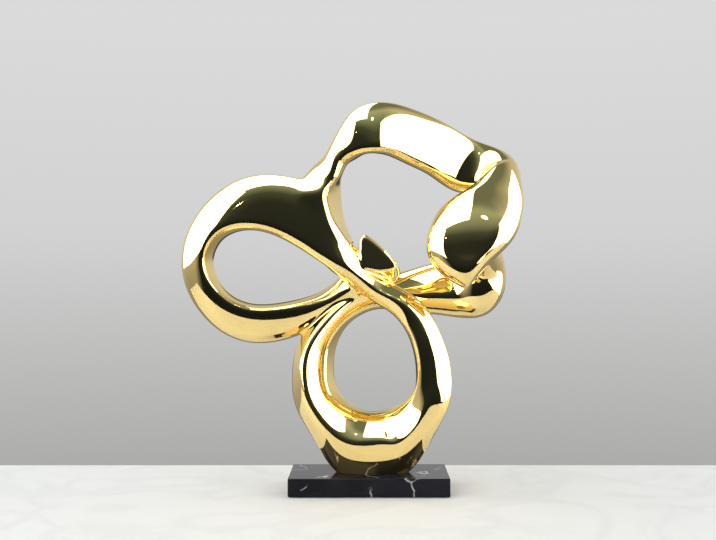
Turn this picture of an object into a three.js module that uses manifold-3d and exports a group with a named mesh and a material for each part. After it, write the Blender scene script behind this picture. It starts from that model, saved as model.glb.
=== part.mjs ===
// Abstract flower: one gold-plated ribbon of cast resin that loops into three open petals and stands
// on a black marble plinth. Millimetres, +Z up, front towards -Y, origin in the middle of the felt's
// underside.
import * as THREE from "three";
import { mergeVertices } from "three/addons/utils/BufferGeometryUtils.js";
import Module from "manifold-3d";

// Marble plinth and the felt under it
const PLINTH_LENGTH = 160;
const PLINTH_DEPTH = 80;
const PLINTH_HEIGHT = 18;
const PLINTH_ARRIS = 0.8;
const FELT_THICKNESS = 0.8;
const FELT_INSET = 4;

// Ribbon: overall width, depth and height above the plinth, the ring's thickness, and how a section is
// rounded
const FORM_WIDTH = 347;
const FORM_DEPTH = 117;
const FORM_HEIGHT = 374;
const RING_THICKNESS = 52;
const BACK_SHARE = 0.5;
const EDGE_ROUNDING = 1.7;
const FRONT_SIDES = 4;
const BACK_SIDES = 7;
const SECTIONS_PER_RIB = 3;

// Bonded seams between the castings, each with a steel dowel across it, and how far up the web's edge
// its seam runs, in half widths of the strand
const SEAM_GAP = 0.3;
const WEB_SEAM_REACH = 1.7;
const DOWEL_DIAMETER = 6;
const DOWEL_LENGTH = 26;
const DOWEL_CHAMFER = 0.8;
const HOLE_CLEARANCE = 0.3;

// Two screws from under the plinth into brass inserts in the foot
const FOOT_MIDDLE = 4;
const BOLT_SPACING = 36;
const BOLT_DIAMETER = 6;
const BOLT_GRIP = 12;
const HEAD_DIAMETER = 10;
const HEAD_HEIGHT = 4;
const SOCKET_ACROSS = 4.6;
const SOCKET_DEPTH = 2.4;
const WASHER_DIAMETER = 16;
const WASHER_THICKNESS = 1.6;
const HEAD_RECESS = 1.2;
const INSERT_DIAMETER = 10;
const INSERT_LENGTH = 14;
const INSERT_GROOVE = 0.6;
const ROUND_SIDES = 20;

// Sizes that follow from those above
const PLINTH_TOP = FELT_THICKNESS + PLINTH_HEIGHT;
const BOLT_HOLE = BOLT_DIAMETER / 2 + HOLE_CLEARANCE;
const COUNTERBORE = WASHER_DIAMETER / 2 + 1;
const COUNTERBORE_DEPTH = WASHER_THICKNESS + HEAD_HEIGHT + HEAD_RECESS;
const WASHER_TOP = FELT_THICKNESS + COUNTERBORE_DEPTH;
const HEAD_TOP = WASHER_TOP - WASHER_THICKNESS;
const SHANK = PLINTH_TOP - HEAD_TOP + BOLT_GRIP;
const INSERT_HOLE_DEPTH = Math.max(INSERT_LENGTH, BOLT_GRIP) + 3;
const BOLT_PLACES = {
  left: FOOT_MIDDLE - BOLT_SPACING / 2,
  right: FOOT_MIDDLE + BOLT_SPACING / 2,
};
// The ribs are drawn for a ribbon 347 wide, 117 deep and 374 high.
const STRETCH = new THREE.Vector3(FORM_WIDTH / 347, FORM_DEPTH / 117, FORM_HEIGHT / 374);

// A rib is one section of the ribbon, measured from the plinth's top: the [x, z] of its outer and its
// inner edge, the y of the middle, the thickness, where the front's ridge lies from inner edge (-1) to
// outer edge (1), how full the front is (1 is a sharp roof, 2 a round back), how far the outer edge
// stands behind the middle, the share of the thickness that lies behind the edges, and how steeply the
// front meets the edges. A name between two ribs marks a place halfway between them where castings meet.
function rib(
  outer,
  inner,
  y,
  depth,
  ridge,
  fullness,
  lean = 0,
  back = BACK_SHARE,
  rounding = EDGE_ROUNDING,
) {
  return { outer, inner, y, depth, ridge, fullness, lean, back, rounding };
}

const PETAL_RIBS = [
  // Cut wedge end behind the diagonal, then the lower side of the left petal
  rib([28, 209], [-6, 241], -22, 28, 0, 1.15, 0, 0.12),
  rib([31, 198], [-9, 236], -3, 30, 0, 1.3, 0, 0.25),
  rib([11, 181], [-24, 209], 10, 32, 0, 1.6, 0, 0.4),
  rib([-30, 161], [-47, 185], 14, 36, -0.3, 1.9, 2),
  rib([-71, 139], [-80, 174], 8, 42, -0.7, 3.3, 3, 0.55),
  "petal_foot",
  rib([-122, 131], [-118, 171], 3, 44, -0.8, 3.3, 3, 0.6),
  rib([-161, 150], [-143, 182], 0, 44, -0.8, 3.3, 3, 0.6),
  rib([-185, 184], [-157, 201], -2, 42, -0.8, 2.6, 4, 0.6),
  rib([-191, 213], [-160, 216], -3, 42, -0.8, 2.2, 4, 0.6),
  rib([-186, 241], [-156, 228], -5, 42, -0.75, 2.2, 4, 0.6),
  rib([-168, 271], [-147, 238], -8, 44, -0.7, 1.9, 3, 0.65),
  // Broad web at the top of the left petal
  rib([-135, 295], [-127, 245], -12, 44, -0.6, 2.5, 2, 0.7, 2),
  rib([-101, 301], [-101, 242], -17, 44, -0.55, 2.8, 0, 0.75, 2),
  rib([-69, 297], [-77, 231], -19, 42, -0.55, 2.8, 0, 0.75, 2),
  rib([-45, 288], [-59, 220], -20.5, 40, -0.55, 2.8, 0, 0.75, 2),
  rib([-38, 267], [-47, 212], -22, 38, -0.5, 2.6, 0, 0.75, 2),
  "petal_web",
  // Diagonal in front of the crossing
  rib([-27, 245], [-35, 204], -20, 36, -0.5, 2.2, 4, 0.7, 2),
  rib([-12, 226], [-23, 195], -16, 34, -0.5, 1.9, 4, 0.65),
  rib([4, 207], [-11, 185], -12, 32, -0.4, 1.5, 3, 0.6),
  rib([23, 193], [5, 173], -12, 32, -0.3, 1.25, 2, 0.6),
  rib([42, 182], [22, 163], -16, 34, -0.2, 1.25, 3, 0.65),
  rib([59, 166], [35, 149], -20, 38, -0.1, 1.25, 3, 0.78),
  // Lower ring: right side, foot, left side
  rib([71, 144], [43, 134], -23, 42, -0.1, 1.25, 3, 0.83),
  rib([80, 119], [48, 114], -24, 46, -0.1, 1.3, 3, 0.86),
  rib([83, 94], [48, 94], -24, 48, -0.1, 1.3, 2, 0.86),
  rib([79, 68], [41, 78], -22, 50, 0, 1.25, -3, 0.8),
  rib([61, 33], [27, 67], -10, RING_THICKNESS, 0.32, 1.25, -6, 0.63),
  rib([34, -4], [15, 62], -1, RING_THICKNESS, -0.05, 1.35, -6),
  "ring_bottom",
  rib([-24, -6], [-6, 62], 0, RING_THICKNESS, -0.03, 1.5, -6),
  rib([-55, 32], [-23, 72], 0, RING_THICKNESS, 0.45, 1.7, -6, 0.5, 1.4),
  rib([-73, 65], [-33, 86], 2, 50, 0.66, 2, -8, 0.5, 1.15),
  rib([-78, 96], [-36, 106], 4, 48, 0.72, 2, -6, 0.5, 1.05),
  rib([-74, 126], [-33, 128], 7, 46, 0.65, 2, -5, 0.5, 1.1),
  rib([-60, 151], [-23, 147], 11, 44, 0.4, 1.8, -3, 0.5, 1.4),
  // Behind the diagonal, out along the rear arm, and round into the fold
  rib([-39, 171], [-7, 160], 16, 42, 0.2, 1.3),
  rib([-18, 186], [9, 165], 21, 40, 0.1, 1.4),
  rib([7, 197], [29, 164], 27, 40, 0, 1.5),
  "arm_root",
  rib([36, 204], [54, 160], 32, 40, -0.2, 1.4),
  rib([69, 213], [75, 158], 33, 40, -0.3, 1.4),
  rib([96, 215], [100, 155], 30, 42, -0.2, 1.8),
  rib([105, 213], [124, 160], 22, 42, 0, 2.6, 0, 0.5, 2),
  "arm_end",
  rib([111, 214], [140, 182], 18, 42, 0, 2.6, 0, 0.5, 2),
  rib([110, 220], [138, 206], 9, 40, 0, 2.6, 0, 0.5, 2),
  rib([99, 229], [125, 226], -24, 28, 0, 1.9),
];

const ARCH_RIBS = [
  // Along the web's edge, the neck, then the arch over to its end behind the leaf
  rib([-43, 223], [-15, 233], -12, 28, 0.4, 1.35, -12, 0.45, 1.2),
  rib([-56, 243], [-23, 252], -10, 30, 0.55, 1.2, -18, 0.46, 1.1),
  rib([-66, 263], [-27, 269], -9, 34, 0.43, 1.15, -18, 0.44, 1.05),
  rib([-72, 282], [-28, 287], -9, 36.5, 0.34, 1.15, -18, 0.435, 1.05),
  rib([-61, 300], [-27, 302], -9, 40, 0.15, 1.4, -10, 0.44, 1.1),
  "neck",
  rib([-40, 329], [-18, 315], -13, 42, -0.3, 2.2, 3, 0.65, 1.8),
  rib([-27, 352], [-5, 321], -19, 37, -0.5, 2.7, 3, 0.715, 2),
  rib([-11, 368], [8, 322], -21, 37, -0.65, 3, 1, 0.715, 2),
  rib([16, 374], [22, 320], -15, 37, -0.65, 3, 0, 0.715, 2),
  rib([47, 368], [41, 312], -5, 37, -0.65, 3, 0, 0.715, 2),
  rib([78, 356], [63, 302], 5, 37, -0.65, 3, 0, 0.72, 2),
  "corner",
  rib([110, 340], [86, 288], 15, 37, -0.6, 2.8, 0, 0.72, 2),
  rib([133, 331], [108, 285], 13, 40, -0.2, 2.2, 0, 0.7, 1.9),
  rib([149, 318], [126, 291], 4, 34, 0, 1.9),
  rib([155, 301], [141, 291], -4, 20, 0, 1.9),
];

const LEAF_RIBS = [
  // From the corner down the front to the tip
  rib([152, 307], [136, 317], 4, 18, 0, 1.9),
  rib([154, 295], [119, 305], -10, 27, -0.35, 1.9),
  rib([154, 283], [103, 289], -21, 32, -0.35, 1.9),
  rib([154, 274], [86, 277], -27, 36, -0.35, 1.9),
  rib([152, 263], [70, 265], -34, 38, -0.15, 1.9),
  rib([147, 246], [60, 248], -40, 40, 0.15, 2.6, 0, 0.5, 2),
  rib([138, 231], [56, 231], -43, 40, 0.3, 2.8, 0, 0.5, 2),
  rib([125, 218], [60, 214], -44, 40, 0.3, 2.8, 0, 0.5, 2),
  rib([111, 204], [74, 198], -46, 36, 0.2, 2.2, 0, 0.5, 1.9),
  rib([97, 188], [92, 187], -46, 14, 0, 1.9),
];

const GOLD = { color: 0xe8b04a, roughness: 0.05, metalness: 1 };
const MARBLE = { color: 0x121214, roughness: 0.2, metalness: 0 };
const FELT = { color: 0x1c1c1e, roughness: 0.95, metalness: 0 };
const STEEL = { color: 0xa9acb0, roughness: 0.35, metalness: 1 };
const BRASS = { color: 0xb8923f, roughness: 0.35, metalness: 1 };

const wasm = await Module();
wasm.setup();

function solidOf(geometry) {
  const bare = new THREE.BufferGeometry();
  bare.setAttribute("position", geometry.getAttribute("position"));
  bare.setIndex(geometry.index);
  const welded = mergeVertices(bare, 1e-4);
  return new wasm.Manifold(
    new wasm.Mesh({
      numProp: 3,
      vertProperties: welded.getAttribute("position").array,
      triVerts: new Uint32Array(welded.index.array),
    }),
  );
}

function geometryOf(solid) {
  const mesh = solid.getMesh();
  const geometry = new THREE.BufferGeometry();
  geometry.setAttribute("position", new THREE.BufferAttribute(mesh.vertProperties, 3));
  geometry.setIndex(new THREE.BufferAttribute(mesh.triVerts, 1));
  geometry.computeVertexNormals();
  return geometry;
}

function meshOf(name, geometry, finish) {
  const mesh = new THREE.Mesh(geometry, new THREE.MeshStandardMaterial(finish));
  mesh.name = name;
  return mesh;
}

// A cylinder that stands on z = bottom at (x, 0).
function pillar(radius, bottom, top, x = 0, sides = ROUND_SIDES) {
  const geometry = new THREE.CylinderGeometry(radius, radius, top - bottom, sides);
  geometry.rotateX(Math.PI / 2);
  geometry.translate(x, 0, (bottom + top) / 2);
  return solidOf(geometry);
}

// The edges and the section sizes of a strand as smooth curves through its ribs, and the rib number of
// each seam along it.
function strandOf(drawn) {
  const ribs = drawn.filter((item) => typeof item !== "string");
  const seams = {};
  for (const item of drawn) {
    if (typeof item === "string") {
      seams[item] = drawn.indexOf(item) - Object.keys(seams).length - 0.5;
    }
  }
  const edge = (side, way) =>
    new THREE.CatmullRomCurve3(
      ribs.map((r) =>
        new THREE.Vector3(r[side][0], r.y + way * r.lean, r[side][1]).multiply(STRETCH),
      ),
    );
  const depths = ribs.map((r) => new THREE.Vector2(r.depth * STRETCH.y, r.back));
  const ridges = ribs.map((r) => new THREE.Vector3(r.ridge, r.fullness, r.rounding));
  return {
    outer: edge("outer", 1),
    inner: edge("inner", -1),
    depths: new THREE.SplineCurve(depths),
    ridges: new THREE.CatmullRomCurve3(ridges),
    intervals: ribs.length - 1,
    seams,
  };
}

function middleOf(strand, place) {
  const t = THREE.MathUtils.clamp(place / strand.intervals, 0, 1);
  return strand.outer.getPoint(t).add(strand.inner.getPoint(t)).multiplyScalar(0.5);
}

// The strand's middle, its directions and its section sizes at a rib number, whole or between ribs.
function frameAt(strand, place) {
  const t = place / strand.intervals;
  const outer = strand.outer.getPoint(t);
  const inner = strand.inner.getPoint(t);
  const along = middleOf(strand, place + 0.05).sub(middleOf(strand, place - 0.05)).normalize();
  const across = outer.clone().sub(inner).multiplyScalar(0.5);
  const front = along.clone().cross(across).normalize();
  const [depth, back] = strand.depths.getPoint(t).toArray();
  const [ridge, fullness, rounding] = strand.ridges.getPoint(t).toArray();
  const section = { depth, back, ridge, fullness, rounding };
  return { middle: middleOf(strand, place), along, across, front, section };
}

// A section as [across, out] pairs: the front rises from both edges to the ridge, the back is half an
// ellipse.
function sectionOf({ depth, back, ridge, fullness, rounding }) {
  const points = [];
  const rise = (far) => depth * (1 - back) * (1 - far ** fullness) ** (1 / rounding);
  for (let i = 0; i < FRONT_SIDES; i += 1) {
    const far = Math.cos((i / FRONT_SIDES) * (Math.PI / 2));
    points.push([ridge + (1 - ridge) * far, rise(far)]);
  }
  for (let i = 0; i < FRONT_SIDES; i += 1) {
    const far = Math.sin((i / FRONT_SIDES) * (Math.PI / 2));
    points.push([ridge - (1 + ridge) * far, rise(far)]);
  }
  for (let i = 0; i < BACK_SIDES; i += 1) {
    const angle = (i / BACK_SIDES) * Math.PI;
    points.push([-Math.cos(angle), -depth * back * Math.sin(angle)]);
  }
  return points;
}

// The solid of a strand between two rib numbers. Each trim pulls that end back along the strand.
function loft(strand, from, to, trimFrom = 0, trimTo = 0) {
  const steps = Math.max(1, Math.round((to - from) * SECTIONS_PER_RIB));
  const ring = 2 * FRONT_SIDES + BACK_SIDES;
  const corners = [];
  const faces = [];
  for (let i = 0; i <= steps; i += 1) {
    const frame = frameAt(strand, from + ((to - from) * i) / steps);
    const trim = (i === 0 ? trimFrom : 0) - (i === steps ? trimTo : 0);
    const middle = frame.middle.addScaledVector(frame.along, trim);
    for (const [across, out] of sectionOf(frame.section)) {
      const corner = middle.clone().addScaledVector(frame.across, across);
      corners.push(...corner.addScaledVector(frame.front, out).toArray());
    }
  }
  for (let i = 0; i < steps; i += 1) {
    for (let j = 0; j < ring; j += 1) {
      const a = i * ring + j;
      const b = i * ring + ((j + 1) % ring);
      faces.push(a, b, a + ring, b, b + ring, a + ring);
    }
  }
  for (let j = 1; j < ring - 1; j += 1) {
    const last = steps * ring;
    faces.push(0, j + 1, j, last, last + j, last + j + 1);
  }
  const geometry = new THREE.BufferGeometry();
  geometry.setAttribute("position", new THREE.Float32BufferAttribute(corners, 3));
  geometry.setIndex(faces);
  return solidOf(geometry);
}

function lathe(profile, sides = ROUND_SIDES) {
  const points = profile.map(([radius, height]) => new THREE.Vector2(radius, height));
  return new THREE.LatheGeometry(points, sides).rotateX(Math.PI / 2);
}

const petal = strandOf(PETAL_RIBS);
const arch = strandOf(ARCH_RIBS);
const leaf = strandOf(LEAF_RIBS);
const half = SEAM_GAP / 2;

// The arch starts along the web's edge, where the seam across the web divides it too,
// up to a level cut a little above the end of the seam.
const archRoot = loft(arch, 0, arch.seams.neck, 0, half);
const webSeam = frameAt(petal, petal.seams.petal_web);
const webFace = webSeam.across.clone().cross(webSeam.front).normalize();
const webPlace = webSeam.middle.dot(webFace);
const webTop = webSeam.middle.z + WEB_SEAM_REACH * webSeam.across.z;
const downward = [0, 0, -1];
const rootBelow = archRoot
  .trimByPlane(webFace.toArray(), webPlace + half)
  .trimByPlane(downward, half - webTop);
const rootTaken = archRoot
  .trimByPlane(webFace.toArray(), webPlace - half)
  .trimByPlane(downward, -half - webTop);
const rootAbove = archRoot.subtract(rootTaken);

// Each casting is the union of the lengths of strand that run into it.
const castings = {
  lower_ring: loft(petal, 0, petal.seams.petal_foot, 0, half)
    .add(loft(petal, petal.seams.petal_web, petal.seams.ring_bottom, half, 0))
    .add(rootBelow)
    .add(loft(petal, petal.seams.ring_bottom, petal.seams.arm_root, 0, half)),
  left_petal: loft(petal, petal.seams.petal_foot, petal.seams.petal_web, half, half).add(rootAbove),
  top_arch: loft(arch, arch.seams.neck, arch.seams.corner, half, half),
  front_fold: loft(arch, arch.seams.corner, arch.intervals, half, 0)
    .add(loft(leaf, 0, leaf.intervals))
    .add(loft(petal, petal.seams.arm_end, petal.intervals, half, 0)),
  rear_arm: loft(petal, petal.seams.arm_root, petal.seams.arm_end, half, half),
};

// Dowels: the strand and place each one lies at, and the two castings it joins
const DOWELS = {
  petal_foot: { strand: petal, joins: ["lower_ring", "left_petal"] },
  petal_web: { strand: petal, joins: ["left_petal", "lower_ring"] },
  neck: { strand: arch, joins: ["left_petal", "top_arch"] },
  corner: { strand: arch, joins: ["top_arch", "front_fold"] },
  arm_root: { strand: petal, joins: ["lower_ring", "rear_arm"] },
  arm_end: { strand: petal, joins: ["rear_arm", "front_fold"] },
};

const root = new THREE.Group();
root.name = "abstract_flower";
const form = new THREE.Group();
form.name = "ribbon_form";
form.position.z = PLINTH_TOP;
root.add(form);

const dowelRadius = DOWEL_DIAMETER / 2;
const dowelEnd = DOWEL_LENGTH / 2;
const dowelGeometry = geometryOf(
  solidOf(
    lathe([
      [0, -dowelEnd],
      [dowelRadius - DOWEL_CHAMFER, -dowelEnd],
      [dowelRadius, -dowelEnd + DOWEL_CHAMFER],
      [dowelRadius, dowelEnd - DOWEL_CHAMFER],
      [dowelRadius - DOWEL_CHAMFER, dowelEnd],
      [0, dowelEnd],
    ], 16),
  ),
);
for (const [name, { strand, joins }] of Object.entries(DOWELS)) {
  const frame = frameAt(strand, strand.seams[name]);
  const dowel = meshOf(`dowel_${name}`, dowelGeometry, STEEL);
  dowel.position.copy(frame.middle);
  dowel.quaternion.setFromUnitVectors(new THREE.Vector3(0, 0, 1), frame.along);
  dowel.updateMatrix();
  form.add(dowel);
  const reach = dowelEnd + HOLE_CLEARANCE;
  const hole = pillar(dowelRadius + HOLE_CLEARANCE, -reach, reach, 0, 16);
  const placed = hole.transform(dowel.matrix.toArray());
  for (const casting of joins) {
    castings[casting] = castings[casting].subtract(placed);
  }
}

// The foot is cut flat where it stands on the plinth, and drilled for the inserts.
const below = new THREE.BoxGeometry(2 * PLINTH_LENGTH, 2 * PLINTH_LENGTH, PLINTH_LENGTH);
below.translate(0, 0, -PLINTH_LENGTH / 2);
castings.lower_ring = castings.lower_ring.subtract(solidOf(below));
for (const x of Object.values(BOLT_PLACES)) {
  const hole = pillar(INSERT_DIAMETER / 2 + HOLE_CLEARANCE, -1, INSERT_HOLE_DEPTH, x);
  castings.lower_ring = castings.lower_ring.subtract(hole);
}
for (const [name, solid] of Object.entries(castings)) {
  form.add(meshOf(name, geometryOf(solid), GOLD));
}

// Plinth: a slab with a fine chamfer on every edge, bored and counterbored from below
function slab(length, depth, height, arris) {
  const x = length / 2 - arris;
  const y = depth / 2 - arris;
  const outline = new THREE.Shape();
  outline.moveTo(-x, -y);
  outline.lineTo(x, -y);
  outline.lineTo(x, y);
  outline.lineTo(-x, y);
  outline.closePath();
  const geometry = new THREE.ExtrudeGeometry(outline, {
    depth: height - 2 * arris,
    bevelSize: arris,
    bevelThickness: arris,
    bevelSegments: 1,
  });
  geometry.translate(0, 0, arris);
  return geometry;
}

const slabGeometry = slab(PLINTH_LENGTH, PLINTH_DEPTH, PLINTH_HEIGHT, PLINTH_ARRIS);
slabGeometry.translate(0, 0, FELT_THICKNESS);
let plinth = solidOf(slabGeometry);
for (const x of Object.values(BOLT_PLACES)) {
  plinth = plinth.subtract(pillar(BOLT_HOLE, 0, PLINTH_TOP + 1, x));
  plinth = plinth.subtract(pillar(COUNTERBORE, 0, WASHER_TOP, x));
}
root.add(meshOf("plinth", geometryOf(plinth), MARBLE));

const felt = meshOf(
  "felt_pad",
  new THREE.BoxGeometry(
    PLINTH_LENGTH - 2 * FELT_INSET,
    PLINTH_DEPTH - 2 * FELT_INSET,
    FELT_THICKNESS,
  ),
  FELT,
);
felt.position.z = FELT_THICKNESS / 2;
root.add(felt);

// Fastenings, the same on both sides
const socketRadius = SOCKET_ACROSS / Math.sqrt(3);
const boltGeometry = geometryOf(
  pillar(HEAD_DIAMETER / 2, -HEAD_HEIGHT, 0)
    .add(pillar(BOLT_DIAMETER / 2, -HEAD_HEIGHT / 2, SHANK))
    .subtract(pillar(socketRadius, -HEAD_HEIGHT - 1, SOCKET_DEPTH - HEAD_HEIGHT, 0, 6)),
);
const washerGeometry = geometryOf(
  pillar(WASHER_DIAMETER / 2, -WASHER_THICKNESS, 0).subtract(pillar(BOLT_HOLE, -WASHER_THICKNESS - 1, 1)),
);
const insertRadius = INSERT_DIAMETER / 2;
const insertGeometry = geometryOf(
  pillar(insertRadius, 0, INSERT_LENGTH * 0.4)
    .add(pillar(insertRadius - INSERT_GROOVE, INSERT_LENGTH * 0.2, INSERT_LENGTH * 0.8))
    .add(pillar(insertRadius, INSERT_LENGTH * 0.6, INSERT_LENGTH))
    .subtract(pillar(BOLT_HOLE, -1, INSERT_LENGTH + 1)),
);
for (const [side, x] of Object.entries(BOLT_PLACES)) {
  const bolt = meshOf(`bolt_${side}`, boltGeometry, STEEL);
  bolt.position.set(x, 0, HEAD_TOP);
  const washer = meshOf(`washer_${side}`, washerGeometry, STEEL);
  washer.position.set(x, 0, WASHER_TOP);
  const insert = meshOf(`insert_${side}`, insertGeometry, BRASS);
  insert.position.set(x, 0, PLINTH_TOP);
  root.add(bolt, washer, insert);
}

export default root;
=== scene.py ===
import math
from typing import NamedTuple

import bmesh
import bpy
import numpy as np
from bpy.props import FloatProperty, FloatVectorProperty, IntProperty, PointerProperty
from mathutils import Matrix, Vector


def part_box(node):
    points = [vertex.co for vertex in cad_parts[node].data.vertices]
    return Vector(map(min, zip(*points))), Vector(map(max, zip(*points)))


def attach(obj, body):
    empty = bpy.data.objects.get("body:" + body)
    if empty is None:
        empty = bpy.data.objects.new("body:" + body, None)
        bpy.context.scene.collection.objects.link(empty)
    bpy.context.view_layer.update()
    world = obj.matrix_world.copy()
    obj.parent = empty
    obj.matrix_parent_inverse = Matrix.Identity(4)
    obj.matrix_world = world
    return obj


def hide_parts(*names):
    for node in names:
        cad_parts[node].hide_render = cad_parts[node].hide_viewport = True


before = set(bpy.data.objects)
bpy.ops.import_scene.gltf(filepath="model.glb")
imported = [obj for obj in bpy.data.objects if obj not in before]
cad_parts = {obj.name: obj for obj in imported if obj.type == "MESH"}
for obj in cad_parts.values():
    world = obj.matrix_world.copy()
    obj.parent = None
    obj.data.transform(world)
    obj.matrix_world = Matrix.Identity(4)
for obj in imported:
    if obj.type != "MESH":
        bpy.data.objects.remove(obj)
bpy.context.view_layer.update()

bl_info = {
    "name": "Abstract flower sculpture",
    "version": (1, 0, 0),
    "blender": (4, 5, 0),
    "location": "3D View > Sidebar > Abstract flower",
    "description": "Builds a mirror-gold looping ribbon on a black marble plinth, with its stage",
    "category": "Object",
}

MM = 0.001
PLINTH_LOW, PLINTH_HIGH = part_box("plinth")
PLINTH_TOP = PLINTH_HIGH[2]


class Rib(NamedTuple):
    """One section of the ribbon, in millimetres from the plinth's top."""

    outer: tuple  # x and z of the outer edge
    inner: tuple  # x and z of the inner edge
    y: float  # of the middle
    depth: float  # thickness from front to back
    ridge: float  # place of the front's ridge, from inner edge (-1) to outer edge (1)
    fullness: float  # of the front: 1 is a roof, 2 a round back
    lean: float = 0  # how far the outer edge stands behind the middle
    back: float = 0.5  # share of the thickness that lies behind the edges
    rounding: float = 1.7  # of the edges: 1 is a sloping wall, 2 a full round


PETAL_RIBS = (
    # Cut wedge end behind the diagonal, then the lower side of the left petal
    Rib((28, 209), (-6, 241), -22, 28, 0, 1.15, 0, 0.12),
    Rib((31, 198), (-9, 236), -3, 30, 0, 1.3, 0, 0.25),
    Rib((11, 181), (-24, 209), 10, 32, 0, 1.6, 0, 0.4),
    Rib((-30, 161), (-47, 185), 14, 36, -0.3, 1.9, 2),
    Rib((-71, 139), (-80, 174), 8, 42, -0.7, 3.3, 3, 0.55),
    Rib((-122, 131), (-118, 171), 3, 44, -0.8, 3.3, 3, 0.6),
    Rib((-161, 150), (-143, 182), 0, 44, -0.8, 3.3, 3, 0.6),
    Rib((-185, 184), (-157, 201), -2, 42, -0.8, 2.6, 4, 0.6),
    Rib((-191, 213), (-160, 216), -3, 42, -0.8, 2.2, 4, 0.6),
    Rib((-186, 241), (-156, 228), -5, 42, -0.75, 2.2, 4, 0.6),
    Rib((-168, 271), (-147, 238), -8, 44, -0.7, 1.9, 3, 0.65),
    # Broad web at the top of the left petal
    Rib((-135, 295), (-127, 245), -12, 44, -0.6, 2.5, 2, 0.7, 2),
    Rib((-101, 301), (-101, 242), -17, 44, -0.55, 2.8, 0, 0.75, 2),
    Rib((-69, 297), (-77, 231), -19, 42, -0.55, 2.8, 0, 0.75, 2),
    Rib((-45, 288), (-59, 220), -20.5, 40, -0.55, 2.8, 0, 0.75, 2),
    Rib((-38, 267), (-47, 212), -22, 38, -0.5, 2.6, 0, 0.75, 2),
    # Diagonal in front of the crossing
    Rib((-27, 245), (-35, 204), -20, 36, -0.5, 2.2, 4, 0.7, 2),
    Rib((-12, 226), (-23, 195), -16, 34, -0.5, 1.9, 4, 0.65),
    Rib((4, 207), (-11, 185), -12, 32, -0.4, 1.5, 3, 0.6),
    Rib((23, 193), (5, 173), -12, 32, -0.3, 1.25, 2, 0.6),
    Rib((42, 182), (22, 163), -16, 34, -0.2, 1.25, 3, 0.65),
    Rib((59, 166), (35, 149), -20, 38, -0.1, 1.25, 3, 0.78),
    # Lower ring: right side, foot, left side
    Rib((71, 144), (43, 134), -23, 42, -0.1, 1.25, 3, 0.83),
    Rib((80, 119), (48, 114), -24, 46, -0.1, 1.3, 3, 0.86),
    Rib((83, 94), (48, 94), -24, 48, -0.1, 1.3, 2, 0.86),
    Rib((79, 68), (41, 78), -22, 50, 0, 1.25, -3, 0.8),
    Rib((61, 33), (27, 67), -10, 52, 0.32, 1.25, -6, 0.63),
    Rib((34, -4), (15, 62), -1, 52, -0.05, 1.35, -6),
    Rib((-24, -6), (-6, 62), 0, 52, -0.03, 1.5, -6),
    Rib((-55, 32), (-23, 72), 0, 52, 0.45, 1.7, -6, 0.5, 1.4),
    Rib((-73, 65), (-33, 86), 2, 50, 0.66, 2, -8, 0.5, 1.15),
    Rib((-78, 96), (-36, 106), 4, 48, 0.72, 2, -6, 0.5, 1.05),
    Rib((-74, 126), (-33, 128), 7, 46, 0.65, 2, -5, 0.5, 1.1),
    Rib((-60, 151), (-23, 147), 11, 44, 0.4, 1.8, -3, 0.5, 1.4),
    # Behind the diagonal, out along the rear arm, and round into the fold
    Rib((-39, 171), (-7, 160), 16, 42, 0.2, 1.3),
    Rib((-18, 186), (9, 165), 21, 40, 0.1, 1.4),
    Rib((7, 197), (29, 164), 27, 40, 0, 1.5),
    Rib((36, 204), (54, 160), 32, 40, -0.2, 1.4),
    Rib((69, 213), (75, 158), 33, 40, -0.3, 1.4),
    Rib((96, 215), (100, 155), 30, 42, -0.2, 1.8),
    Rib((105, 213), (124, 160), 22, 42, 0, 2.6, 0, 0.5, 2),
    Rib((111, 214), (140, 182), 18, 42, 0, 2.6, 0, 0.5, 2),
    Rib((110, 220), (138, 206), 9, 40, 0, 2.6, 0, 0.5, 2),
    Rib((99, 229), (125, 226), -24, 28, 0, 1.9),
)
ARCH_RIBS = (
    # Along the web's edge, the neck, then the arch over to its end behind the leaf
    Rib((-43, 223), (-15, 233), -12, 28, 0.4, 1.35, -12, 0.45, 1.2),
    Rib((-56, 243), (-23, 252), -10, 30, 0.55, 1.2, -18, 0.46, 1.1),
    Rib((-66, 263), (-27, 269), -9, 34, 0.43, 1.15, -18, 0.44, 1.05),
    Rib((-72, 282), (-28, 287), -9, 36.5, 0.34, 1.15, -18, 0.435, 1.05),
    Rib((-61, 300), (-27, 302), -9, 40, 0.15, 1.4, -10, 0.44, 1.1),
    Rib((-40, 329), (-18, 315), -13, 42, -0.3, 2.2, 3, 0.65, 1.8),
    Rib((-27, 352), (-5, 321), -19, 37, -0.5, 2.7, 3, 0.715, 2),
    Rib((-11, 368), (8, 322), -21, 37, -0.65, 3, 1, 0.715, 2),
    Rib((16, 374), (22, 320), -15, 37, -0.65, 3, 0, 0.715, 2),
    Rib((47, 368), (41, 312), -5, 37, -0.65, 3, 0, 0.715, 2),
    Rib((78, 356), (63, 302), 5, 37, -0.65, 3, 0, 0.72, 2),
    Rib((110, 340), (86, 288), 15, 37, -0.6, 2.8, 0, 0.72, 2),
    Rib((133, 331), (108, 285), 13, 40, -0.2, 2.2, 0, 0.7, 1.9),
    Rib((149, 318), (126, 291), 4, 34, 0, 1.9),
    Rib((155, 301), (141, 291), -4, 20, 0, 1.9),
)
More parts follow.
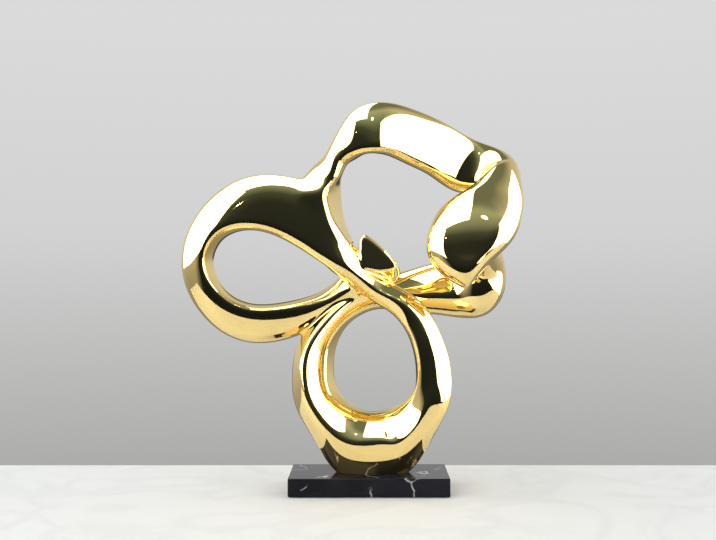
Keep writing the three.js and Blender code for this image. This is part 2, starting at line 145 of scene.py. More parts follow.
LEAF_RIBS = (
    # From the corner down the front to the tip
    Rib((152, 307), (136, 317), 4, 18, 0, 1.9),
    Rib((154, 295), (119, 305), -10, 27, -0.35, 1.9),
    Rib((154, 283), (103, 289), -21, 32, -0.35, 1.9),
    Rib((154, 274), (86, 277), -27, 36, -0.35, 1.9),
    Rib((152, 263), (70, 265), -34, 38, -0.15, 1.9),
    Rib((147, 246), (60, 248), -40, 40, 0.15, 2.6, 0, 0.5, 2),
    Rib((138, 231), (56, 231), -43, 40, 0.3, 2.8, 0, 0.5, 2),
    Rib((125, 218), (60, 214), -44, 40, 0.3, 2.8, 0, 0.5, 2),
    Rib((111, 204), (74, 198), -46, 36, 0.2, 2.2, 0, 0.5, 1.9),
    Rib((97, 188), (92, 187), -46, 14, 0, 1.9),
)
STRANDS = {"petal": PETAL_RIBS, "arch": ARCH_RIBS, "leaf": LEAF_RIBS}
# Where the neck leaves the web, in millimetres from the plinth's top
NECK_PLACE = (-46, -24, 282)

# Seams between the castings: the strand and the rib number each lies at
SEAMS = {
    "petal_foot": ("petal", 4.5),
    "petal_web": ("petal", 15.5),
    "arm_root": ("petal", 36.5),
    "arm_end": ("petal", 40.5),
    "neck": ("arch", 4.5),
    "corner": ("arch", 10.5),
}
# How far a seam's cut reaches: along the strand, to either side in half widths, and in depths. The web's
# seam reaches further out and back, where the arch is fused to it.
SEAM_NEAR = 5 * MM
SEAM_WIDTH = 1.25
SEAM_WIDTHS = {"petal_web": 2.0}
SEAM_DEPTH = 0.75
SEAM_DEPTHS = {"petal_web": 1.1}
# A place well inside each casting, to tell the cut pieces apart
CASTINGS = {
    "lower_ring": ("petal", 27.5),
    "left_petal": ("petal", 9.0),
    "top_arch": ("arch", 6.0),
    "front_fold": ("leaf", 5.0),
    "rear_arm": ("petal", 39.0),
}

# Fineness of the work: points that measure a strand's length, the share of it that gives its direction, the
# pull of one smoothing pass, how close to a cut a point counts as on it, and the corners beyond which a face
# is a flat cap
LENGTH_POINTS = 6000
DIRECTION_SHARE = 1e-3
SMOOTHING = 0.5
CUT_CLOSENESS = 1e-7
CAP_CORNERS = 8
# A slab's face with less area than this is part of its eased edge, in square metres
EDGE_FACE = 1e-3

# Lens, in pixels of the picture: its width, the focal length, and the shift of the middle
SENSOR_WIDTH = 36
PICTURE_WIDTH = 716
FOCAL_LENGTH = 1025
SHIFT_RIGHT = -11
SHIFT_UP = 5

# Table top, in metres
TABLE_SIZE = (1.5, 0.54, 0.03)
TABLE_MIDDLE = (0, -0.133, -0.015)
TABLE_EDGE = 0.003


class SoftLight(NamedTuple):
    """A flat light of the studio, in metres."""

    place: tuple
    target: tuple  # a point that it faces
    size: tuple
    shine: float = 1  # share of the stage's shine, seen in polished faces
    fill: float = 0  # share of the stage's fill, cast on everything else


LIGHTS = {
    "left_panel": SoftLight((-0.95, -0.53, 0.705), (0.0, -0.53, 0.705), (1.85, 1.09), fill=1),
    "right_panel": SoftLight((0.95, -0.50, 0.53), (0.0, -0.50, 0.53), (1.7, 1.34), fill=1),
    "top_panel": SoftLight((-0.33, -0.40, 1.25), (-0.33, -0.40, 0.2), (0.80, 1.8), fill=1),
    "corner_panel": SoftLight((-0.84, -0.40, 1.25), (-0.84, -0.40, 0.2), (0.24, 1.8)),
    "ceiling_lamp": SoftLight((0.28, -0.87, 0.97), (0.0, 0.0, 0.25), (0.09, 0.09)),
    "small_lamp": SoftLight((-0.7, -1.35, 0.775), (0.0, 0.0, 0.25), (0.012, 0.012), shine=12),
}

# Tones of the studio by height, from straight down (0) past level (0.5) to straight up (1): the grey wall
# behind the object, and the dark room in front of it, which shows only in polished faces
WALL_TONES = (
    (0.30, (0.30, 0.30, 0.295)),
    (0.41, (0.41, 0.41, 0.40)),
    (0.47, (0.53, 0.53, 0.525)),
    (0.52, (0.64, 0.645, 0.64)),
    (0.62, (0.70, 0.705, 0.70)),
    (0.85, (0.55, 0.55, 0.55)),
)
ROOM_TONES = (
    (0.35, (0.010, 0.013, 0.018)),
    (0.60, (0.024, 0.030, 0.036)),
    (0.68, (0.06, 0.075, 0.070)),
    (0.76, (0.22, 0.28, 0.27)),
    (0.88, (0.40, 0.50, 0.47)),
    (0.95, (0.16, 0.20, 0.19)),
)
CEILING_TONE = (0.16, 0.20, 0.19)
SHADED_WALL_TONE = (0.07, 0.075, 0.08)
# Where one tone gives way to the next, as parts of the direction looked in: from room to wall by the level
# heading's y, to the ceiling by z, and to the shaded wall straight behind the object by y, apart from a band
# round one height that shows on the plinth's top
ROOM_TO_WALL = (-0.78, -0.58)
TO_CEILING = (0.7167, 0.8833)
TO_SHADED_WALL = (0.85, 0.9214)
LIT_BAND_HEIGHT = 0.145
LIT_BAND_FADE = (0.125, 0.2083)


class RibbonSettings(bpy.types.PropertyGroup):
    """Sizes and finish of the gold ribbon."""

    step: FloatProperty(
        name="Section step", description="Distance between the sections of a strand",
        default=1.5 * MM, min=0.5 * MM, unit="LENGTH")
    sides: IntProperty(
        name="Section points", description="Points round one section", default=96, min=16)
    grain: FloatProperty(
        name="Skin grain", description="Cell size of the skin that joins the strands",
        default=0.9 * MM, min=0.6 * MM, unit="LENGTH")
    polish: IntProperty(
        name="Polish passes", description="Smoothing passes over the whole skin", default=24, min=0)
    ease: IntProperty(
        name="Shading ease", description="Rounds of averaging of the skin's normals",
        default=10, min=0)
    cut_polish: FloatProperty(
        name="Cut end polish", description="Share of the polishing that the cut end gets",
        default=0.3, min=0, max=1, subtype="FACTOR")
    cut_reach: FloatProperty(
        name="Cut end reach", description="How far round the cut end the polishing is held back",
        default=24 * MM, min=0, unit="LENGTH")
    neck_polish: IntProperty(
        name="Neck polish passes", description="Smoothing passes where the neck flows into the web",
        default=260, min=0)
    neck_reach: FloatProperty(
        name="Neck reach", description="Radius of the flow from the neck into the web",
        default=40 * MM, min=0, unit="LENGTH")
    gold: FloatVectorProperty(
        name="Gold", description="Colour of the plating", default=(0.98, 0.74, 0.31),
        min=0, max=1, subtype="COLOR")
    roughness: FloatProperty(
        name="Plating roughness", description="Roughness of the polished plating",
        default=0.03, min=0, max=1, subtype="FACTOR")


class PlinthSettings(bpy.types.PropertyGroup):
    """Edges and colours of the marble plinth."""

    edge: FloatProperty(
        name="Eased edge", description="Radius of the slab's eased edges",
        default=0.9 * MM, min=0.1 * MM, unit="LENGTH")
    stone: FloatVectorProperty(
        name="Stone", description="Ground colour of the marble", default=(0.0075, 0.0076, 0.0115),
        min=0, max=1, subtype="COLOR")
    vein: FloatVectorProperty(
        name="Vein", description="Colour of the veins", default=(0.62, 0.62, 0.60),
        min=0, max=1, subtype="COLOR")
    felt: FloatVectorProperty(
        name="Felt", description="Colour of the felt", default=(0.015, 0.015, 0.016),
        min=0, max=1, subtype="COLOR")


class FasteningSettings(bpy.types.PropertyGroup):
    """Metals of the hidden dowels, bolts, washers and inserts."""

    steel: FloatVectorProperty(
        name="Steel", description="Colour of the dowels, bolts and washers", default=(0.56, 0.57, 0.58),
        min=0, max=1, subtype="COLOR")
    brass: FloatVectorProperty(
        name="Brass", description="Colour of the inserts", default=(0.72, 0.52, 0.22),
        min=0, max=1, subtype="COLOR")
    roughness: FloatProperty(
        name="Metal roughness", description="Roughness of the turned metal",
        default=0.3, min=0, max=1, subtype="FACTOR")


class StageSettings(bpy.types.PropertyGroup):
    """Camera, lamps and table."""

    camera_back: FloatProperty(
        name="Camera distance", description="From the origin back to the camera",
        default=1.046, min=0.2, unit="LENGTH")
    camera_height: FloatProperty(
        name="Camera height", description="Height of the lens above the table",
        default=0.219, min=0, unit="LENGTH")
    table: FloatVectorProperty(
        name="Table", description="Colour of the table top", default=(0.88, 0.875, 0.865),
        min=0, max=1, subtype="COLOR")
    shine: FloatProperty(
        name="Panel shine", description="Brightness of the panels seen in polished faces",
        default=3.2, min=0)
    fill: FloatProperty(
        name="Panel fill", description="Brightness of the panels as light on everything else",
        default=3.4, min=0)


def spline(points):
    """The natural cubic through rows of numbers, and each row's place along it."""
    rows = np.asarray(points, float)
    count = len(rows)
    middles = (rows[:, 0:3] + rows[:, 3:6]) / 2
    gaps = np.sqrt(np.linalg.norm(np.diff(middles, axis=0), axis=1))
    places = np.concatenate([[0], np.cumsum(gaps)])
    system = np.zeros((count, count))
    right = np.zeros(rows.shape)
    system[0, 0] = system[-1, -1] = 1
    for i in range(1, count - 1):
        system[i, i - 1:i + 2] = gaps[i - 1], 2 * (gaps[i - 1] + gaps[i]), gaps[i]
        right[i] = 6 * ((rows[i + 1] - rows[i]) / gaps[i] - (rows[i] - rows[i - 1]) / gaps[i - 1])
    bend = np.linalg.solve(system, right)

    def at(place):
        place = np.atleast_1d(np.asarray(place, float))
        i = np.clip(np.searchsorted(places, place, side="right") - 1, 0, count - 2)
        gap = gaps[i][:, None]
        after = (place - places[i])[:, None]
        before = (places[i + 1] - place)[:, None]
        return ((bend[i] * before ** 3 + bend[i + 1] * after ** 3) / (6 * gap)
                + (rows[i] / gap - bend[i] * gap / 6) * before
                + (rows[i + 1] / gap - bend[i + 1] * gap / 6) * after)

    return at, places


class Strand:
    """One strand of the ribbon: a smooth run of sections through its ribs, in metres."""

    def __init__(self, ribs):
        rows = []
        lift = PLINTH_TOP / MM
        for rib in ribs:
            outer = rib.outer[0], rib.y + rib.lean, rib.outer[1] + lift
            inner = rib.inner[0], rib.y - rib.lean, rib.inner[1] + lift
            rows.append((*outer, *inner, rib.depth, rib.ridge, rib.fullness, rib.back, rib.rounding))
        scaled = np.array(rows, float)
        scaled[:, :7] *= MM
        self.at, self.places = spline(scaled)

    def place(self, rib):
        """The place along the strand of a rib number, whole or between ribs."""
        return float(np.interp(rib, range(len(self.places)), self.places))

    def frames(self, places):
        """Middle, along, half width across, front and section numbers at each place."""
        places = np.atleast_1d(places)
        reach = DIRECTION_SHARE * self.places[-1]
        rows = self.at(places)
        ahead = self.at(np.minimum(places + reach, self.places[-1]))
        behind = self.at(np.maximum(places - reach, 0))
        along = (ahead - behind)[:, 0:3] + (ahead - behind)[:, 3:6]
        along /= np.linalg.norm(along, axis=1)[:, None]
        middle = (rows[:, 0:3] + rows[:, 3:6]) / 2
        across = (rows[:, 0:3] - rows[:, 3:6]) / 2
        front = np.cross(along, across)
        front /= np.linalg.norm(front, axis=1)[:, None]
        return middle, along, across, front, rows[:, 6:11]

    def even_places(self, step):
        """Places a steady distance apart."""
        fine = np.linspace(0, self.places[-1], LENGTH_POINTS)
        rows = self.at(fine)
        middle = (rows[:, 0:3] + rows[:, 3:6]) / 2
        run = np.concatenate([[0], np.cumsum(np.linalg.norm(np.diff(middle, axis=0), axis=1))])
        return np.interp(np.linspace(0, run[-1], int(run[-1] / step) + 1), run, fine)

    def mesh(self, step, sides):
        """Corner points and faces of the closed strand."""
        middle, _, across, front, numbers = self.frames(self.even_places(step))
        depth, ridge, fullness, back, rounding = (numbers[:, i:i + 1] for i in range(5))
        angle = np.linspace(0, 2 * np.pi, sides, endpoint=False)[None, :]
        side = np.cos(angle)
        far = np.where(side > ridge, (side - ridge) / (1 - ridge), (ridge - side) / (1 + ridge))
        rise = np.maximum(0, 1 - far ** fullness) ** (1 / rounding) * (1 - back)
        fall = -back * np.sqrt(np.maximum(0, 1 - side ** 2))
        out = depth * np.where(np.sin(angle) >= 0, rise, fall)
        corners = middle[:, None] + across[:, None] * side[..., None] + front[:, None] * out[..., None]
        rings = len(corners)
        faces = []
        for i in range(rings - 1):
            for j in range(sides):
                a, b = i * sides + j, i * sides + (j + 1) % sides
                faces.append((a, b, b + sides, a + sides))
        faces.append(tuple(reversed(range(sides))))
        faces.append(tuple((rings - 1) * sides + j for j in range(sides)))
        return corners.reshape(-1, 3), faces


def new_object(name, data):
    """Puts a mesh, lamp or camera into the scene under a name."""
    thing = bpy.data.objects.new(name, data)
    bpy.context.scene.collection.objects.link(thing)
    return thing


def new_slab(name, size, middle, edge, segments):
    """A rectangular slab with eased edges."""
    work = bmesh.new()
    bmesh.ops.create_cube(work, size=1)
    bmesh.ops.scale(work, vec=size, verts=work.verts)
    bmesh.ops.translate(work, vec=middle, verts=work.verts)
    bmesh.ops.bevel(
        work, geom=list(work.edges), offset=edge, segments=segments, profile=0.5, affect="EDGES")
    mesh = bpy.data.meshes.new(name)
    work.to_mesh(mesh)
    work.free()
    return new_object(name, mesh)


def baked(thing):
    """Replaces an object's mesh by what its modifiers make of it."""
    graph = bpy.context.evaluated_depsgraph_get()
    made = bpy.data.meshes.new_from_object(thing.evaluated_get(graph))
    thing.modifiers.clear()
    old, thing.data = thing.data, made
    bpy.data.meshes.remove(old)


def smooth_where(thing, name, weights, passes):
    """Smooths an object's points, each by its own weight."""
    group = thing.vertex_groups.new(name=name)
    for index in np.flatnonzero(weights > 0):
        group.add([int(index)], float(weights[index]), "REPLACE")
    smoothing = thing.modifiers.new(name, "SMOOTH")
    smoothing.factor = SMOOTHING
    smoothing.iterations = passes
    smoothing.vertex_group = name


def joined_skin(settings, strands):
    """One closed skin round all the strands, polished, and flowing where the neck leaves the web."""
    points, faces = [], []
    for strand in strands.values():
        corners, sides = strand.mesh(settings.step, settings.sides)
        first = sum(len(p) for p in points)
        points.append(corners)
        faces.extend(tuple(first + k for k in face) for face in sides)
    mesh = bpy.data.meshes.new("ribbon_skin")
    mesh.from_pydata(np.concatenate(points).tolist(), [], faces)
    skin = new_object("ribbon_skin", mesh)
    cells = skin.modifiers.new("Skin", "REMESH")
    cells.mode = "VOXEL"
    cells.voxel_size = settings.grain
    baked(skin)
    places = np.empty(len(skin.data.vertices) * 3)
    skin.data.vertices.foreach_get("co", places)
    places = places.reshape(-1, 3)
    # Full flow in the inner third of its reach, full polish from one and a half reaches off the cut end
    neck = np.array(NECK_PLACE) * MM + (0, 0, PLINTH_TOP)
    from_neck = np.linalg.norm(places - neck, axis=1) / settings.neck_reach
    smooth_where(skin, "Neck flow", np.clip(1.5 * (1 - from_neck), 0, 1), settings.neck_polish)
    cut_end = strands["petal"].frames(0.0)[0][0]
    from_cut = np.linalg.norm(places - cut_end, axis=1) / settings.cut_reach
    smooth_where(skin, "Polish", np.clip(from_cut - 0.5, settings.cut_polish, 1), settings.polish)
    baked(skin)
    skin.vertex_groups.clear()
    return skin


def eased_normals(mesh, rounds):
    """The skin's normals, averaged with their neighbours' so that reflections run smoothly."""
    normals = np.empty(len(mesh.vertices) * 3)
    mesh.vertices.foreach_get("normal", normals)
    normals = normals.reshape(-1, 3)
    ends = np.empty(len(mesh.edges) * 2, dtype=np.int64)
    mesh.edges.foreach_get("vertices", ends)
    ends = ends.reshape(-1, 2)
    here = np.concatenate([ends[:, 0], ends[:, 1]])
    there = np.concatenate([ends[:, 1], ends[:, 0]])
    for _ in range(rounds):
        sums = [np.bincount(here, normals[there, axis], len(normals)) for axis in range(3)]
        normals = normals + np.stack(sums, axis=1)
        normals /= np.linalg.norm(normals, axis=1)[:, None]
    return normals


def casting_meshes(skin, strands, rounds):
    """Cuts the skin flat at the plinth and apart at the seams, and names each closed piece."""
    skin.data.update()
    normals = eased_normals(skin.data, rounds)
    work = bmesh.new()
    work.from_mesh(skin.data)
    bend = [work.verts.layers.float.new(axis) for axis in ("bend_x", "bend_y", "bend_z")]
    for vert in work.verts:
        for layer, value in zip(bend, normals[vert.index]):
            vert[layer] = value
    everything = list(work.verts) + list(work.edges) + list(work.faces)
    bmesh.ops.bisect_plane(
        work, geom=everything, plane_co=(0, 0, PLINTH_TOP), plane_no=(0, 0, 1), clear_inner=True)
    close_loops(work)
    for name, (strand, rib) in SEAMS.items():
        split_at(work, strands[strand], rib, name)
    close_loops(work)
    pieces = islands(work)
    if len(pieces) != len(CASTINGS):
        raise RuntimeError(f"the ribbon fell into {len(pieces)} pieces, not {len(CASTINGS)}")
    made = {}
    for name, (strand, rib) in CASTINGS.items():
        middle = Vector(strands[strand].frames(strands[strand].place(rib))[0][0])
        made[name] = min(pieces, key=lambda faces: min(
            (vert.co - middle).length for face in faces for vert in face.verts))
    if len({id(faces) for faces in made.values()}) != len(CASTINGS):
        raise RuntimeError("two castings share one piece of the ribbon")
    meshes = {name: piece_mesh(name, faces, bend) for name, faces in made.items()}
    work.free()
    return meshes


def split_at(work, strand, rib, name):
    """Cuts the skin of one strand right across at a rib number."""
    middle, along, across, front, numbers = (row[0] for row in strand.frames(strand.place(rib)))
    half_width = np.linalg.norm(across)
    sideways = Vector(across / half_width)
    along, front, middle = Vector(along), Vector(front), Vector(middle)
    inward = half_width * SEAM_WIDTH
    outward = half_width * SEAM_WIDTHS.get(name, SEAM_WIDTH)
    deep = numbers[0] * SEAM_DEPTHS.get(name, SEAM_DEPTH)

    def near(face):
        offset = face.calc_center_median() - middle
        beside = -inward < offset.dot(sideways) < outward
        return beside and abs(offset.dot(along)) < SEAM_NEAR and abs(offset.dot(front)) < deep

    faces = [face for face in work.faces if near(face)]
    edges = list({edge for face in faces for edge in face.edges})
    verts = list({vert for face in faces for vert in face.verts})
    made = bmesh.ops.bisect_plane(
        work, geom=verts + edges + faces, plane_co=middle, plane_no=along, dist=CUT_CLOSENESS)
    cut = [item for item in made["geom_cut"] if isinstance(item, bmesh.types.BMEdge)]
    bmesh.ops.split_edges(work, edges=cut)


def close_loops(work):
    """Fills every open loop with a flat cap."""
    open_edges = [edge for edge in work.edges if edge.is_boundary]
    if open_edges:
        bmesh.ops.holes_fill(work, edges=open_edges, sides=0)


def islands(work):
    """The faces of each separate closed piece."""
    left = set(work.faces)
    found = []
    while left:
        todo = [left.pop()]
        island = []
        while todo:
            face = todo.pop()
            island.append(face)
            for edge in face.edges:
                for other in edge.link_faces:
                    if other in left:
                        left.remove(other)
                        todo.append(other)
        found.append(island)
    return found


def piece_mesh(name, faces, bend):
    """A mesh of one casting that keeps the skin's own roundness across the seams."""
    verts = sorted({vert for face in faces for vert in face.verts}, key=lambda vert: vert.index)
    for face in faces:
        face.normal_update()
    number = {vert: i for i, vert in enumerate(verts)}
    mesh = bpy.data.meshes.new(name)
    mesh.from_pydata([vert.co[:] for vert in verts], [], [[number[v] for v in f.verts] for f in faces])
    round_normals = [Vector([vert[layer] for layer in bend]).normalized() for vert in verts]
    loops = []
    for face in faces:
        flat = len(face.verts) > CAP_CORNERS
        for vert in face.verts:
            loops.append(face.normal.copy() if flat else round_normals[number[vert]])
    mesh.polygons.foreach_set("use_smooth", [True] * len(mesh.polygons))
    mesh.normals_split_custom_set([normal[:] for normal in loops])
    return mesh


def toned(colour, share, lift=0):
    """A lighter or darker tone of a colour."""
    return tuple(min(1, c * share + lift) for c in colour)


class Nodes:
    """Lays out the node tree of one material or of the world."""

    def __init__(self, owner):
        owner.use_nodes = True
        self.tree = owner.node_tree
        self.tree.nodes.clear()

    def add(self, kind, **settings):
        """A node, with each setting on its property or else on its socket of that name."""
        node = self.tree.nodes.new(kind)
        for name, value in settings.items():
            if hasattr(node, name):
                setattr(node, name, value)
            else:
                node.inputs[name.replace("_", " ").title()].default_value = value
        return node

    def link(self, out, into):
        """Joins an output to a socket."""
        self.tree.links.new(out, into)

    def feed(self, socket, value):
        """Puts an output, a colour or a number on a socket."""
        if isinstance(value, bpy.types.NodeSocket):
            self.link(value, socket)
        elif isinstance(value, tuple):
            socket.default_value = (*value, 1)
        else:
            socket.default_value = value

    def place(self):
        """The object's own coordinates."""
        return self.add("ShaderNodeTexCoord").outputs["Object"]

    def noise(self, place, **settings):
        """A noise texture at a place."""
        node = self.add("ShaderNodeTexNoise", **settings)
        self.link(place, node.inputs["Vector"])
        return node

    def math(self, operation, *values, clamp=False):
        """One sum of outputs and numbers."""
        node = self.add("ShaderNodeMath", operation=operation, use_clamp=clamp)
        for socket, value in zip(node.inputs, values):
            self.feed(socket, value)
        return node.outputs[0]

    def fade(self, value, limits):
        """A share that rises from 0 at the first limit to 1 at the second."""
        slope = 1 / (limits[1] - limits[0])
        return self.math("MULTIPLY_ADD", value, slope, -limits[0] * slope, clamp=True)

    def ramp(self, value, stops):
        """A run of colours, each at its place from 0 to 1."""
        node = self.add("ShaderNodeValToRGB")
        band = node.color_ramp.elements
        band.remove(band[1])
        band[0].position = stops[0][0]
        band[0].color = (*stops[0][1], 1)
        for place, colour in stops[1:]:
            band.new(place).color = (*colour, 1)
        self.link(value, node.inputs["Fac"])
        return node.outputs["Color"]

    def mix(self, share, first, second):
        """A blend of two colours."""
        node = self.add("ShaderNodeMix", data_type="RGBA")
        colours = [socket for socket in node.inputs if socket.type == "RGBA"]
        for socket, value in zip((node.inputs[0], *colours), (share, first, second)):
            self.feed(socket, value)
        return next(socket for socket in node.outputs if socket.type == "RGBA")

    def surface(self, **sockets):
        """The one glossy shader of a material, with plain values set on its own sockets."""
        shader = self.add("ShaderNodeBsdfPrincipled")
        output = self.add("ShaderNodeOutputMaterial")
        self.link(shader.outputs[0], output.inputs["Surface"])
        for name, value in sockets.items():
            shader.inputs[name.replace("_", " ")].default_value = value
        return shader

    def roughen(self, shader, pattern, roughness):
        """A roughness that varies with a pattern, from half the value to half as much again."""
        self.link(self.math("MULTIPLY_ADD", pattern, roughness, roughness * 0.5), shader.inputs["Roughness"])

    def bump(self, shader, pattern, strength, distance):
        """Fine relief from a pattern."""
        relief = self.add("ShaderNodeBump", strength=strength, distance=distance)
        self.link(pattern, relief.inputs["Height"])
        self.link(relief.outputs["Normal"], shader.inputs["Normal"])


def gold_material(settings):
    """Mirror gold plating with a faint drift of tone and polish."""
    material = bpy.data.materials.new("gold_plating")
    nodes = Nodes(material)
    shader = nodes.surface(Metallic=1.0)
    place = nodes.place()
    drift = nodes.noise(place, scale=14, detail=3)
    deep, pale = toned(settings.gold, 0.96), toned(settings.gold, 1.03, lift=0.015)
    tone = nodes.ramp(drift.outputs["Fac"], [(0.3, deep), (0.7, pale)])
    nodes.link(tone, shader.inputs["Base Color"])
    haze = nodes.noise(place, scale=160, detail=4)
    nodes.roughen(shader, haze.outputs["Fac"], settings.roughness)
    return material


def marble_material(settings):
    """Polished black marble: a dark cloudy ground, hairline veins and a few broken white patches."""
    material = bpy.data.materials.new("black_marble")
    nodes = Nodes(material)
    shader = nodes.surface(Roughness=0.14, Specular_IOR_Level=0.14)
    black, white = (0, 0, 0), (1, 1, 1)
    place = nodes.place()
    cloud = nodes.noise(place, scale=22, detail=6, roughness=0.6)
    dark, light = toned(settings.stone, 0.5), toned(settings.stone, 1.8)
    ground = nodes.ramp(cloud.outputs["Fac"], [(0.35, dark), (0.75, light)])
    bend = nodes.add("ShaderNodeVectorMath", operation="MULTIPLY_ADD")
    nodes.link(cloud.outputs["Color"], bend.inputs[0])
    bend.inputs[1].default_value = (35 * MM, 35 * MM, 35 * MM)
    nodes.link(place, bend.inputs[2])
    crack = nodes.add("ShaderNodeTexVoronoi", feature="DISTANCE_TO_EDGE", scale=26)
    nodes.link(bend.outputs[0], crack.inputs["Vector"])
    line = nodes.ramp(crack.outputs["Distance"], [(0.0, white), (0.03, black)])
    patch = nodes.noise(bend.outputs[0], scale=30, detail=3, roughness=0.55)
    shown = nodes.ramp(patch.outputs["Fac"], [(0.50, black), (0.62, white)])
    streak = nodes.ramp(patch.outputs["Fac"], [(0.69, black), (0.71, white)])
    marks = nodes.math("MAXIMUM", nodes.math("MULTIPLY", line, shown), streak)
    nodes.link(nodes.mix(marks, ground, tuple(settings.vein)), shader.inputs["Base Color"])
    return material


def felt_material(settings):
    """Close black felt with short crossing fibres."""
    material = bpy.data.materials.new("felt")
    nodes = Nodes(material)
    shader = nodes.surface(Roughness=0.95, Sheen_Weight=0.4)
    fibre = nodes.noise(nodes.place(), scale=2400, detail=3).outputs["Fac"]
    tone = nodes.ramp(fibre, [(0.3, toned(settings.felt, 0.6)), (0.7, toned(settings.felt, 1.8))])
    nodes.link(tone, shader.inputs["Base Color"])
    nodes.bump(shader, fibre, strength=0.5, distance=0.2 * MM)
    return material


def metal_material(name, colour, roughness):
    """Turned metal with fine tool lines round the part."""
    material = bpy.data.materials.new(name)
    nodes = Nodes(material)
    shader = nodes.surface(Metallic=1.0)
    stretch = nodes.add("ShaderNodeMapping")
    stretch.inputs["Scale"].default_value = (400, 400, 4000)
    nodes.link(nodes.place(), stretch.inputs["Vector"])
    lines = nodes.noise(stretch.outputs["Vector"], scale=1, detail=2).outputs["Fac"]
    tone = nodes.ramp(lines, [(0.3, toned(colour, 0.82)), (0.7, tuple(colour))])
    nodes.link(tone, shader.inputs["Base Color"])
    nodes.roughen(shader, lines, roughness)
    nodes.bump(shader, lines, strength=0.15, distance=0.05 * MM)
    return material


def dress(thing, material):
    """Gives an object one material."""
    thing.data.materials.clear()
    thing.data.materials.append(material)


class OBJECT_OT_flower_ribbon(bpy.types.Operator):
    """Builds the gold ribbon as five polished castings"""

    bl_idname = "object.flower_ribbon"
    bl_label = "Gold ribbon"

    def execute(self, context):
        settings = context.scene.flower_ribbon
        strands = {name: Strand(ribs) for name, ribs in STRANDS.items()}
        skin = joined_skin(settings, strands)
        meshes = casting_meshes(skin, strands, settings.ease)
        bpy.data.objects.remove(skin)
        gold = gold_material(settings)
        for name, mesh in meshes.items():
            piece = new_object(name + "_skin", mesh)
            dress(piece, gold)
            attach(piece, "root")
            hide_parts(name)
        return {"FINISHED"}


class OBJECT_OT_flower_plinth(bpy.types.Operator):
    """Builds the marble slab and dresses the felt under it"""

    bl_idname = "object.flower_plinth"
    bl_label = "Marble plinth"

    def execute(self, context):
        settings = context.scene.flower_plinth
        size, middle = PLINTH_HIGH - PLINTH_LOW, (PLINTH_LOW + PLINTH_HIGH) / 2
        slab = new_slab("plinth_slab", size, middle, settings.edge, segments=4)
        for face in slab.data.polygons:
            face.use_smooth = face.area < EDGE_FACE
        dress(slab, marble_material(settings))
        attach(slab, "root")
        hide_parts("plinth")
        dress(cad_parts["felt_pad"], felt_material(settings))
        return {"FINISHED"}


class OBJECT_OT_flower_fastenings(bpy.types.Operator):
    """Gives the hidden dowels, bolts, washers and inserts their metal"""

    bl_idname = "object.flower_fastenings"
    bl_label = "Fastenings"

    def execute(self, context):
        settings = context.scene.flower_fastenings
        steel = metal_material("steel", settings.steel, settings.roughness)
        brass = metal_material("brass", settings.brass, settings.roughness)
        for name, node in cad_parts.items():
            if name.startswith("insert_"):
                dress(node, brass)
            elif name.startswith(("dowel_", "bolt_", "washer_")):
                dress(node, steel)
        return {"FINISHED"}


def add_light(name, light, shine, fill):
    """A soft light as two lamps: one that shows in polished faces, one that lights everything else."""
    facing = (Vector(light.target) - Vector(light.place)).to_track_quat("-Z", "Y").to_euler()
    for part, glow in (("shine", light.shine * shine), ("fill", light.fill * fill)):
        if not glow:
            continue
        lamp = bpy.data.lights.new(f"{name}_{part}", "AREA")
        lamp.shape = "DISK" if light.size[0] == light.size[1] else "RECTANGLE"
        lamp.size, lamp.size_y = light.size
        lamp.energy = glow * math.pi * light.size[0] * light.size[1]
        thing = new_object(lamp.name, lamp)
        thing.location = light.place
        thing.rotation_euler = facing
        thing.visible_camera = False
        thing.visible_glossy = part == "shine"
        thing.visible_diffuse = part == "fill"


def table_material(settings):
    """Pale stone table with the faintest veins."""
    material = bpy.data.materials.new("table")
    nodes = Nodes(material)
    shader = nodes.surface(Roughness=0.55)
    vein = nodes.noise(nodes.place(), scale=7, detail=5, distortion=1.2)
    table, grey = tuple(settings.table), toned(settings.table, 0.94)
    tone = nodes.ramp(vein.outputs["Fac"], [(0.42, table), (0.5, grey), (0.58, table)])
    nodes.link(tone, shader.inputs["Base Color"])
    return material


def room_world():
    """Grey wall behind, dark room in front; the picture itself always sees the plain grey wall."""
    world = bpy.data.worlds.new("studio")
    bpy.context.scene.world = world
    nodes = Nodes(world)
    way = nodes.add("ShaderNodeSeparateXYZ")
    nodes.link(nodes.add("ShaderNodeTexCoord").outputs["Generated"], way.inputs[0])
    height = nodes.math("MULTIPLY_ADD", way.outputs["Z"], 0.5, 0.5)
    wall = nodes.ramp(height, WALL_TONES)
    room = nodes.ramp(height, ROOM_TONES)
    level = nodes.add("ShaderNodeCombineXYZ")
    nodes.link(way.outputs["X"], level.inputs["X"])
    nodes.link(way.outputs["Y"], level.inputs["Y"])
    heading = nodes.add("ShaderNodeVectorMath", operation="NORMALIZE")
    nodes.link(level.outputs[0], heading.inputs[0])
    facing = nodes.add("ShaderNodeSeparateXYZ")
    nodes.link(heading.outputs[0], facing.inputs[0])
    off_band = nodes.math("ABSOLUTE", nodes.math("SUBTRACT", way.outputs["Z"], LIT_BAND_HEIGHT))
    straight = nodes.fade(way.outputs["Y"], TO_SHADED_WALL)
    shaded = nodes.math("MULTIPLY", straight, nodes.fade(off_band, LIT_BAND_FADE))
    behind = nodes.mix(shaded, wall, SHADED_WALL_TONE)
    around = nodes.mix(nodes.fade(facing.outputs["Y"], ROOM_TO_WALL), room, behind)
    around = nodes.mix(nodes.fade(way.outputs["Z"], TO_CEILING), around, CEILING_TONE)
    picture = nodes.add("ShaderNodeLightPath").outputs["Is Camera Ray"]
    glow = nodes.add("ShaderNodeBackground")
    nodes.link(nodes.mix(picture, around, wall), glow.inputs["Color"])
    output = nodes.add("ShaderNodeOutputWorld")
    nodes.link(glow.outputs[0], output.inputs["Surface"])


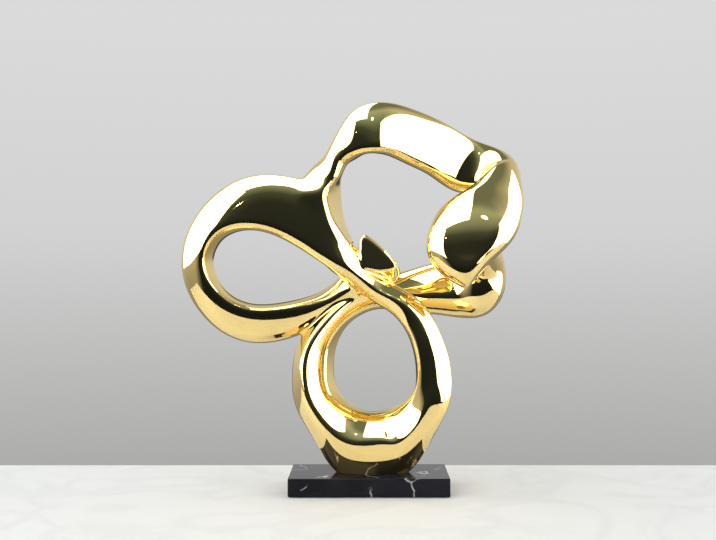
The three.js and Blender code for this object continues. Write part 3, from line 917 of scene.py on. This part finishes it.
class OBJECT_OT_flower_stage(bpy.types.Operator):
    """Sets up the table, the lamps, the room and the camera"""

    bl_idname = "object.flower_stage"
    bl_label = "Stage"

    def execute(self, context):
        scene = context.scene
        settings = scene.flower_stage
        table = new_slab("table_top", TABLE_SIZE, TABLE_MIDDLE, TABLE_EDGE, segments=3)
        dress(table, table_material(settings))
        room_world()
        for name, light in LIGHTS.items():
            add_light(name, light, settings.shine, settings.fill)
        lens = bpy.data.cameras.new("camera")
        lens.sensor_width = SENSOR_WIDTH
        lens.lens = SENSOR_WIDTH * FOCAL_LENGTH / PICTURE_WIDTH
        lens.shift_x = SHIFT_RIGHT / PICTURE_WIDTH
        lens.shift_y = SHIFT_UP / PICTURE_WIDTH
        camera = new_object("camera", lens)
        camera.location = (0, -settings.camera_back, settings.camera_height)
        camera.rotation_euler = (math.pi / 2, 0, 0)
        scene.camera = camera
        scene.view_settings.view_transform = "Standard"
        return {"FINISHED"}


class VIEW3D_PT_abstract_flower(bpy.types.Panel):
    """Builds the sculpture piece by piece"""

    bl_label = "Abstract flower"
    bl_idname = "VIEW3D_PT_abstract_flower"
    bl_space_type = "VIEW_3D"
    bl_region_type = "UI"
    bl_category = "Abstract flower"

    def draw(self, context):
        for name, group in GROUPS.items():
            box = self.layout.box()
            for setting in group.__annotations__:
                box.prop(getattr(context.scene, name), setting)
            box.operator(f"object.{name}")


# Each group of settings has the name of the operator that uses it.
GROUPS = {
    "flower_ribbon": RibbonSettings,
    "flower_plinth": PlinthSettings,
    "flower_fastenings": FasteningSettings,
    "flower_stage": StageSettings,
}
CLASSES = (
    *GROUPS.values(),
    OBJECT_OT_flower_ribbon,
    OBJECT_OT_flower_plinth,
    OBJECT_OT_flower_fastenings,
    OBJECT_OT_flower_stage,
    VIEW3D_PT_abstract_flower,
)


def register():
    """Adds the settings, the operators and the panel."""
    for cls in CLASSES:
        bpy.utils.register_class(cls)
    for name, group in GROUPS.items():
        setattr(bpy.types.Scene, name, PointerProperty(type=group))


def unregister():
    """Takes them away again."""
    for name in GROUPS:
        delattr(bpy.types.Scene, name)
    for cls in reversed(CLASSES):
        bpy.utils.unregister_class(cls)


def main():
    """Builds every piece in order."""
    register()
    bpy.ops.object.flower_ribbon()
    bpy.ops.object.flower_plinth()
    bpy.ops.object.flower_fastenings()
    bpy.ops.object.flower_stage()


if __name__ == "__main__":
    main()
